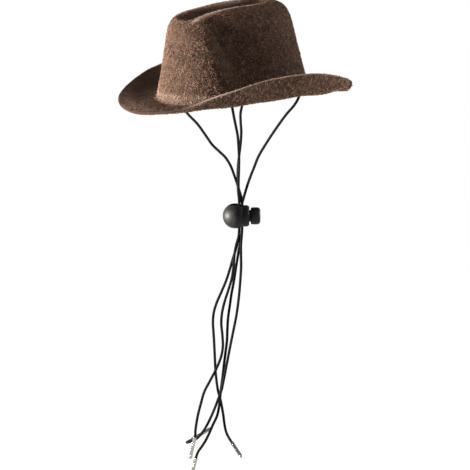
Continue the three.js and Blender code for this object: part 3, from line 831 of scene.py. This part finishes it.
def growNap(name, place, count, seed, length, width, lean, material, brush=(0, 0, 0)):
    # bent spindles, each from one point through a triangle to one point, spread by area over a
    # grid of rings; every spindle has a tone of its own
    surface, normal, wornAndLit = place
    rng = np.random.default_rng(seed)
    ahead = np.roll(surface, -1, 1)
    area = np.linalg.norm(np.cross(surface[1:] - surface[:-1], (ahead - surface)[:-1]), axis=-1)
    cells = rng.choice(area.size, count, p=area.ravel() / area.sum())
    row, col = np.divmod(cells, surface.shape[1])
    nextCol = (col + 1) % surface.shape[1]
    u, v = rng.random((2, count, 1))
    blend = lambda a: ((1 - u) * ((1 - v) * a[row, col] + v * a[row, nextCol])
                       + u * ((1 - v) * a[row + 1, col] + v * a[row + 1, nextCol]))
    vary = lambda key: rng.uniform(*nap[key], (count, 1))
    root = blend(surface)
    up = unit(blend(normal))
    side = rng.normal(size=(count, 3)) + brush
    side = unit(side - up * np.sum(side * up, 1, keepdims=True))
    cross = np.cross(up, side)
    # locks of nap lie together: light and long, or dark and short, in upright streaks
    locks = softWaves(root * [1, 1, nap["streak"]], 5, count=40, low=850, high=1900)[:, None]
    size = length * vary("lengths") * (1 + nap["lockLength"] * np.clip(locks, -2, 2))
    way = unit(up + side * lean * vary("leans"))
    bend = side + cross * rng.normal(0, nap["curl"], (count, 1)) - up * vary("droops")
    root = root - up * nap["sink"]
    knee = root + way * size * 0.5
    bend = unit(bend)
    far = knee + bend * size * 0.5
    girth = width * vary("widths") / 2
    a = unit(np.cross(way + bend, rng.normal(size=(count, 3))))
    b = unit(np.cross(way + bend, a))
    corners = [knee + (a * math.cos(t) + b * math.sin(t)) * girth
               for t in (0, 2 * math.pi / 3, 4 * math.pi / 3)]
    points = np.stack([root] + corners + [far], 1).reshape(-1, 3)
    one = np.array([[0, 2, 1], [0, 3, 2], [0, 1, 3], [1, 2, 4], [2, 3, 4], [3, 1, 4]])
    faces = (np.arange(count)[:, None, None] * 5 + one).reshape(-1, 3)
    own = nap["ownTone"] * (rng.random((count, 1)) - 0.5)
    masks = {"tone": np.clip(0.5 + own + nap["lockTone"] * locks, 0, 1),
             "rise": np.array([[0, 0.5, 0.5, 0.5, 1]]), "wornAndLit": wornAndLit[row, col][:, None]}
    masks = {key: np.broadcast_to(values, (count, 5)) for key, values in masks.items()}
    obj = meshObject(name, points, faces, masks)
    obj.data.materials.append(material)
    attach(obj, "root")


feltHat, outerFace, innerFace, feltNormal, footWearAndHighlight = makeFelt()
feltHat.data.materials.append(feltMaterial())
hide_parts("hat")
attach(feltHat, "root")
print("felt made", len(feltHat.data.polygons))

curls = curlMaterial("felt curls", "curlDark", "curlLight")
# a darker copy for the top of the brim: painted shade
shadedBrimCurls = curlMaterial("felt brim curls", "brimDark", "brimLight")
# a lighter copy for under the brim: painted light
litUnderCurls = curlMaterial("felt under curls", "underDark", "underLight")
crownEnd = hat["crownRows"] + hat["footRows"]
onCrown, onBrim = slice(None, crownEnd), slice(crownEnd - 1, None)
crown, brimTop = [(outerFace[rows], feltNormal[rows], footWearAndHighlight[rows]) for rows in (onCrown, onBrim)]
inside, brimUnder = [(innerFace[rows], -feltNormal[rows], 0 * footWearAndHighlight[rows])
                     for rows in (onCrown, onBrim)]
size, width, lean = nap["length"], nap["width"], nap["lean"]
growNap("nap_crown", crown, 28000, 11, size, width, lean, curls)
growNap("nap_crown_second", crown, 28000, 12, size, width, lean, curls)
growNap("nap_brim_top", brimTop, 24000, 13, size * 0.65, width * 0.8, lean * 1.6, shadedBrimCurls)
growNap("nap_brim_under", brimUnder, 24000, 14, size * 1.3, width * 0.85, lean * 1.3, litUnderCurls,
        brush=(1.2, 1.6, 1.6))
growNap("nap_inside", inside, 7500, 15, size * 0.8, width * 0.8, lean * 1.3, curls)
for name, place, seed in (("crown", crown, 16), ("brim", brimTop, 17)):
    growNap("flyaways_" + name, place, nap["flyaways"] // 2, seed, nap["flyawayLength"],
            nap["flyawayWidth"], nap["flyawayLean"], curls)
print("nap grown")


# Cord lock

lock = {
    "ball": 16.8 * mm,
    "flats": 16.0 * mm,
    "slotWidth": 5.2 * mm,
    "slotStart": -4.0 * mm,
    "travel": 3 * mm,
    "stem": 7.6 * mm,
    "stemEnd": -2.8 * mm,
    "shoulder": 14.0 * mm,
    "shoulderStart": 0.5 * mm,
    "shoulderReach": 9.4 * mm,
    "shoulderRound": 2.6 * mm,
    "button": 11.2 * mm,
    "buttonLength": 6.3 * mm,
    "buttonGap": 0.4 * mm,
    "buttonRound": 2.1 * mm,
    "buttonLip": 1.1 * mm,
    "capRise": 0.1 * mm,
    "capShare": 0.6,
    "stemChamfer": 0.3 * mm,
    "flatSoftness": 0.35 * mm,
    "ballRows": 66,
    "around": 96,
    "cutBeyond": 1 * mm,
    "cutHalf": 20 * mm,
}


def placeInLock(points):
    return turnTies(points + np.array(ties["lock"]) * mm)


def turnedAlongX(profile):
    # a profile of (x, radius) turned about x
    x, radius = np.asarray(profile, float).T[..., None]
    angle = 2 * np.pi * np.arange(lock["around"]) / lock["around"]
    return np.stack(np.broadcast_arrays(x, radius * np.cos(angle), radius * np.sin(angle)), -1)


def arcPoints(cx, cy, r, start, end, count):
    t = np.linspace(start, end, count)
    return np.stack([cx + r * np.cos(t), cy + r * np.sin(t)], -1)


def barMesh(name, radius, start, end):
    ring = turnedAlongX([[start, radius], [end, radius]])
    return solidOfRings(name, ring, [start, 0, 0], [end, 0, 0], flip=True)


def slotMesh(name, start, end):
    # a stadium carried upright through the lock
    r, half = lock["slotWidth"] / 2, lock["cutHalf"]
    right = arcPoints(end - r, 0, r, -np.pi / 2, np.pi / 2, 24)
    left = arcPoints(start + r, 0, r, np.pi / 2, 3 * np.pi / 2, 24)
    outline = np.vstack([right, left])
    ring = np.stack([np.column_stack([outline, np.full(len(outline), z)]) for z in (-half, half)])
    middle = (start + end) / 2
    return solidOfRings(name, ring, [middle, 0, -half], [middle, 0, half], flip=True)


def bundleHalf():
    # half the room that the four cords take, with their yarns standing out
    return ties["bundlePitch"] / 2 * mm + ties["diameter"] / 2 + 2 * ties["yarnSwell"] + ties["gap"]


def cutWith(obj, cutter, operation="DIFFERENCE"):
    modifier = obj.modifiers.new("cut", "BOOLEAN")
    modifier.operation = operation
    modifier.solver = "EXACT"
    modifier.object = cutter
    graph = bpy.context.evaluated_depsgraph_get()
    mesh = bpy.data.meshes.new_from_object(obj.evaluated_get(graph))
    obj.modifiers.clear()
    obj.data = mesh
    bpy.data.objects.remove(cutter)


def finishInLock(obj, material, body):
    # move the finished shape to its place and smooth its round sides
    mesh = obj.data
    co = np.empty(len(mesh.vertices) * 3, np.float32)
    mesh.vertices.foreach_get("co", co)
    placed = placeInLock(co.reshape(-1, 3).astype(float))
    mesh.vertices.foreach_set("co", placed.astype(np.float32).ravel())
    mesh.materials.clear()
    mesh.materials.append(material)
    mesh.polygons.foreach_set("use_smooth", np.ones(len(mesh.polygons), dtype=bool))
    mesh.set_sharp_from_angle(angle=math.radians(35))
    mesh.update()
    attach(obj, body)


def plasticMaterial():
    # satin black plastic: faint mould haze, fine grain and a little dust
    material, nodes, shader = newMaterial("black plastic")
    place = nodes.place()
    haze = nodes.noise(place, 260.0, 4.0)
    dust = nodes.between(nodes.noise(place, 1800.0, 3.0), 0.62, 0.74)
    base = nodes.mix(nodes.between(haze, 0.35, 0.7), colour(9, 9, 10), colour(20, 21, 21))
    nodes.feed(shader, {
        "Base Color": nodes.mix(nodes.math("MULTIPLY", dust, 0.1), base, colour(90, 87, 82)),
        "Roughness": nodes.between(haze, 0.3, 0.7, 0.5, 0.64),
        "Normal": nodes.bump(nodes.noise(place, 5000.0, 2.0), 0.25, 0.02 * mm),
        "Specular IOR Level": 0.2,
    })
    return material


def makeLockBody(material):
    # a ball with rounded flats, a shoulder, a slot for the cords and a bore for the stem
    radius, flat = lock["ball"] / 2, lock["flats"] / 2
    turn = np.linspace(0, np.pi, lock["ballRows"])[1:-1, None]
    height = radius * np.cos(turn)
    width = radius * np.sin(turn)
    soft = lock["flatSoftness"]
    height = np.sign(height) * (flat - soft * np.log1p(np.exp((flat - np.abs(height)) / soft)))
    angle = 2 * np.pi * np.arange(lock["around"]) / lock["around"]
    ring = np.stack(np.broadcast_arrays(width * np.cos(angle), width * np.sin(angle), height), -1)
    body = solidOfRings("lock_ball", ring, [0, 0, height[0, 0]], [0, 0, height[-1, 0]])
    r, begin, reach = lock["shoulder"] / 2, lock["shoulderStart"], lock["shoulderReach"]
    corner = lock["shoulderRound"]
    rounded = arcPoints(reach - corner, r - corner, corner, np.pi / 2, 0, 12)
    shoulder = solidOfRings("shoulder", turnedAlongX(np.vstack([[[begin, r]], rounded])),
                            [begin, 0, 0], [reach, 0, 0], flip=True)
    cutWith(body, shoulder, "UNION")
    beyond = reach + lock["cutBeyond"]
    pocket = reach + lock["buttonGap"] - lock["travel"] - ties["gap"]
    cutWith(body, barMesh("pocket", lock["button"] / 2 + ties["gap"], pocket, beyond))
    bundleEnd = ties["bundleAcross"] * mm + bundleHalf()
    cutWith(body, slotMesh("slot", lock["slotStart"], bundleEnd))
    bore = lock["stemEnd"] - lock["travel"] - ties["gap"]
    cutWith(body, barMesh("bore", lock["stem"] / 2 + ties["gap"], bore, beyond))
    finishInLock(body, material, "root")
    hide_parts("lock_body")
    return body


def makeLockButton(material):
    # a cap with a round lip, on a stem with a slot that holds the cords
    half, across = bundleHalf(), ties["bundleAcross"] * mm
    start = lock["shoulderReach"] + lock["buttonGap"]
    end = start + lock["buttonLength"]
    r, corner, lip = lock["button"] / 2, lock["buttonRound"], lock["buttonLip"]
    stem, foot, chamfer = lock["stem"] / 2, lock["stemEnd"], lock["stemChamfer"]
    profile = np.vstack([
        [[foot, stem - chamfer], [foot + chamfer, stem], [start, stem], [start, r - lip]],
        arcPoints(start + lip, r - lip, lip, np.pi, np.pi / 2, 6),
        arcPoints(end - corner, r - corner, corner, np.pi / 2, 0.12, 9),
        [[end + lock["capRise"] / 2, (r - corner) * lock["capShare"]]],
    ])
    button = solidOfRings("lock_push_button", turnedAlongX(profile), [foot, 0, 0],
                          [end + lock["capRise"], 0, 0], flip=True)
    cutWith(button, slotMesh("stemSlot", across - half, across + half + lock["travel"]))
    finishInLock(button, material, "button")
    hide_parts("lock_button")
    return button


plastic = plasticMaterial()
lockBody = makeLockBody(plastic)
lockButton = makeLockButton(plastic)
print("lock made")


# Metal tips

tip = {
    "length": 15.4 * mm,
    "diameter": 2.3 * mm,
    "collar": 2.44 * mm,
    "collarLength": 2.2 * mm,
    "collarSlope": 0.4 * mm,
    "mouthRound": 0.25 * mm,
    "mouthShare": 0.12,
    "crimps": (3.6 * mm, 5.2 * mm),
    "crimpWidth": 0.45 * mm,
    "crimpDepth": 0.1 * mm,
    "seamAngle": 0.4,
    "seamWidth": 0.11,
    "seamDepth": 0.2 * mm,
    "seamFade": 0.8 * mm,
    "seamStop": 1.6,                  # radii before the round end
    "leastRadius": 0.01 * mm,
    "around": 36,
    "rows": 70,
}


def tipMaterial():
    # nickel plate: faint marks, darker in the seam
    material, nodes, shader = newMaterial("nickel tip")
    marks = nodes.noise(nodes.place(), 1500.0, 4.0)
    base = nodes.mix(nodes.between(marks, 0.3, 0.7), colour(154, 151, 143), colour(178, 175, 167))
    seam = nodes.math("MULTIPLY", nodes.attribute("seam"), 0.85)
    nodes.feed(shader, {
        "Base Color": nodes.mix(seam, base, colour(40, 38, 36)),
        "Roughness": nodes.between(marks, 0.3, 0.7, 0.08, 0.15),
        "Metallic": 1.0,
    })
    return material


def makeTip(name, piece, material):
    # a rolled sheet: round section with a seam groove, a flared collar, two crimps and a round end
    length, r = tip["length"], tip["diameter"] / 2
    s = np.linspace(0, 1, tip["rows"])[:, None] * length
    angle = 2 * np.pi * np.arange(tip["around"])[None] / tip["around"]
    slope = tip["collarSlope"]
    flare = (tip["collar"] / 2 - r) * smoothShare((tip["collarLength"] + slope - s) / slope)
    ends = np.sqrt(np.clip(1 - np.clip((s - (length - r)) / r, 0, 1) ** 2, 0, 1))
    mouth = 1 - tip["mouthShare"] * smoothShare((tip["mouthRound"] - s) / tip["mouthRound"])
    crimps = sum(np.exp(-((s - at) / tip["crimpWidth"]) ** 2) for at in tip["crimps"])
    seamWay = np.angle(np.exp(1j * (angle - tip["seamAngle"])))
    seam = (np.exp(-(seamWay / tip["seamWidth"]) ** 2)
            * smoothShare((length - tip["seamStop"] * r - s) / tip["seamFade"]))
    flat = np.cos(2 * (angle - tip["seamAngle"])) ** 2
    radius = ((r + flare) * ends * mouth - tip["crimpDepth"] * crimps * flat
              - tip["seamDepth"] * seam)
    radius = np.maximum(radius, tip["leastRadius"])[..., None]
    aim = unit(piece["aim"])
    a = unit(np.cross(aim, [0.2, 0.3, 1.0]))
    b = np.cross(aim, a)
    angle = angle[..., None]
    start = piece["end"] + aim * ties["gap"] * 0.2
    ring = start + s[..., None] * aim + radius * (np.cos(angle) * a + np.sin(angle) * b)
    mask = np.concatenate([seam.ravel(), [0, 0]])
    obj = solidOfRings(name, ring, start, start + aim * length, flip=True, masks={"seam": mask})
    obj.data.materials.append(material)
    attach(obj, "root")
    return obj


nickel = tipMaterial()
for name, piece in strandPieces.items():
    piece["tip"] = makeTip("metal_tip_" + name, piece, nickel)
    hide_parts("tip_" + name)
    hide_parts("strand_" + name)
    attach(piece["cord"], "root")
    onCord = [piece["tip"]]
    if name == "left_back":
        onCord += [lockBody, lockButton]
print("tips made")


# Floor, backdrop and light

studio = {
    "floorHeight": -0.42,
    "floorSize": 8.0,
    "world": 1.0,
    "worldLight": 0.34,
    "floorShade": (0.12, 0.12, 0.12, 1),
    "floorGlow": 0.95,
    "lights": [
        {"name": "keyLight", "size": 0.35, "power": 15.5, "azimuth": -20, "elevation": 0,
         "distance": 1.4, "spread": 50, "tint": (1.0, 0.95, 0.89)},
        {"name": "rimLight", "size": 0.6, "power": 2.8, "azimuth": 166, "elevation": 6,
         "distance": 1.4, "spread": 50, "tint": (1.0, 0.97, 0.94)},
        {"name": "topLight", "size": 0.8, "power": 1.5, "azimuth": 40, "elevation": 66,
         "distance": 1.4, "spread": 60, "tint": (1.0, 0.97, 0.94)},
    ],
}


def makeFloor():
    half = studio["floorSize"] / 2
    z = studio["floorHeight"]
    points = np.array([[-half, -half, z], [half, -half, z], [half, half, z], [-half, half, z]])
    floor = meshObject("studio_floor", points, np.array([[0, 1, 2, 3]]))
    material, nodes, shader = newMaterial("pale floor")
    nodes.feed(shader, {
        "Base Color": studio["floorShade"],
        "Emission Color": (1, 1, 1, 1),
        "Emission Strength": studio["floorGlow"],
        "Roughness": 0.9,
    })
    floor.data.materials.append(material)


def areaLight(name, size, power, azimuth, elevation, distance, spread, tint):
    way = wayTo(math.radians(azimuth), math.radians(elevation))
    data = bpy.data.lights.new(name, "AREA")
    data.shape = "DISK"
    data.size = size
    data.energy = power
    data.spread = math.radians(spread)
    data.color = tint
    light = bpy.data.objects.new(name, data)
    light.location = way * distance
    light.rotation_euler = way.to_track_quat("Z", "Y").to_euler()
    scene.collection.objects.link(light)


def makeWorld():
    # a white backdrop that lights the object less than it shows
    world = bpy.data.worlds.new("pale studio")
    scene.world = world
    world.use_nodes = True
    nodes = Nodes(world.node_tree)
    seen = nodes.add("ShaderNodeLightPath").outputs["Is Camera Ray"]
    strength = nodes.between(seen, 0.0, 1.0, studio["worldLight"], studio["world"])
    nodes.feed(world.node_tree.nodes["Background"], {0: (1, 1, 1, 1), 1: strength})


makeFloor()
makeWorld()
for light in studio["lights"]:
    areaLight(**light)
print("studio lit")
